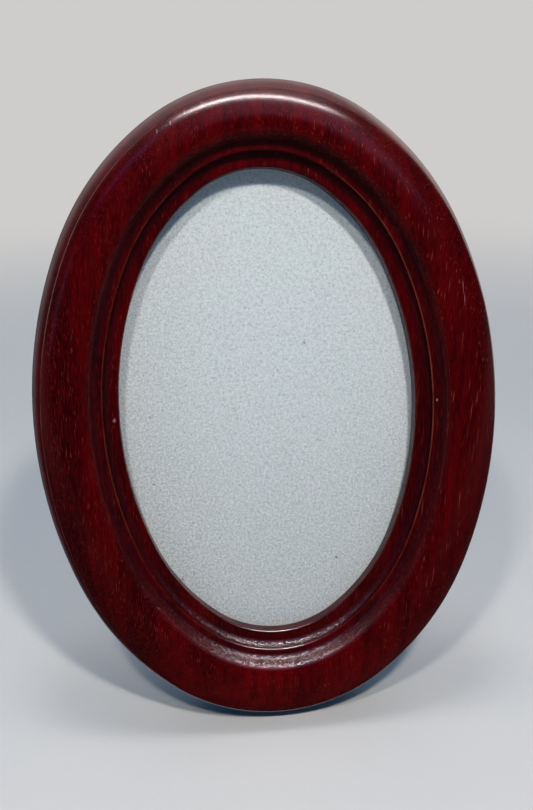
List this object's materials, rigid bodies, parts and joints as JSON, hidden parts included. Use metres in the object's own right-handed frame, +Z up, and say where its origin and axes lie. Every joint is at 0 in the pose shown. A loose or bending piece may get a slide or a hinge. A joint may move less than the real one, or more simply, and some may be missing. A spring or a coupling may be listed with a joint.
{
  "type": "oval picture frame",
  "caption": "Oval wooden table frame with a coved, rounded moulding, a glass front and a hinged strut behind; its back is held by turn buttons.",
  "frame": {"origin": "on the table under the middle of the standing frame's outer box", "axes": "+Z up from the table, +Y from the front to the back, +X to the right as seen from the front"},
  "size_m": [0.1402, 0.0772, 0.185],
  "materials": {
    "stained_wood": "satin lacquer over red stain",
    "clear_glass": "polished",
    "insert_paper": "matt",
    "grey_card": "matt",
    "fibre_board": "cut edge",
    "black_flock": "velvety",
    "plated_steel": "nickel plated",
    "button_brass": "brass plated",
    "screw_brass": "brass plated",
    "hanger_steel": "plated"
  },
  "bodies": {
    "frame": {"oval_moulding": "stained_wood", "glass_pane": "clear_glass", "photo_insert": "insert_paper", "filler_card": "grey_card", "back_board": "fibre_board", "back_board_flock": "black_flock", "hinge_board_rivets": "plated_steel", "hinge_board_leaf": "plated_steel", "hinge_pin": "plated_steel", "turn_button_screws": "screw_brass", "sawtooth_hanger": "hanger_steel", "hanger_nails": "hanger_steel"},
    "strut": {"strut_board": "fibre_board", "strut_flock": "black_flock", "hinge_strut_leaf": "plated_steel", "hinge_strut_rivets": "plated_steel"},
    "turn_button_upper_right": {"turn_button_upper_right": "button_brass"},
    "turn_button_upper_left": {"turn_button_upper_left": "button_brass"},
    "turn_button_lower_left": {"turn_button_lower_left": "button_brass"},
    "turn_button_lower_right": {"turn_button_lower_right": "button_brass"}
  },
  "joints": [
    {"name": "strut_fold", "type": "hinge", "parent": "frame", "child": "strut", "pos_m": [0, 0.01517, 0.11444], "axis": [-1, 0, 0], "range_deg": [0, 28]},
    {"name": "turn_button_upper_right_swivel", "type": "hinge", "parent": "frame", "child": "turn_button_upper_right", "pos_m": [0.04713, 0.0217, 0.14284], "axis": [0, -0.9563, 0.2924], "continuous": true},
    {"name": "turn_button_upper_left_swivel", "type": "hinge", "parent": "frame", "child": "turn_button_upper_left", "pos_m": [-0.04713, 0.0217, 0.14284], "axis": [0, -0.9563, 0.2924], "continuous": true},
    {"name": "turn_button_lower_left_swivel", "type": "hinge", "parent": "frame", "child": "turn_button_lower_left", "pos_m": [-0.04713, -0.01049, 0.03752], "axis": [0, -0.9563, 0.2924], "continuous": true},
    {"name": "turn_button_lower_right_swivel", "type": "hinge", "parent": "frame", "child": "turn_button_lower_right", "pos_m": [0.04713, -0.01049, 0.03752], "axis": [0, -0.9563, 0.2924], "continuous": true}
  ]
}
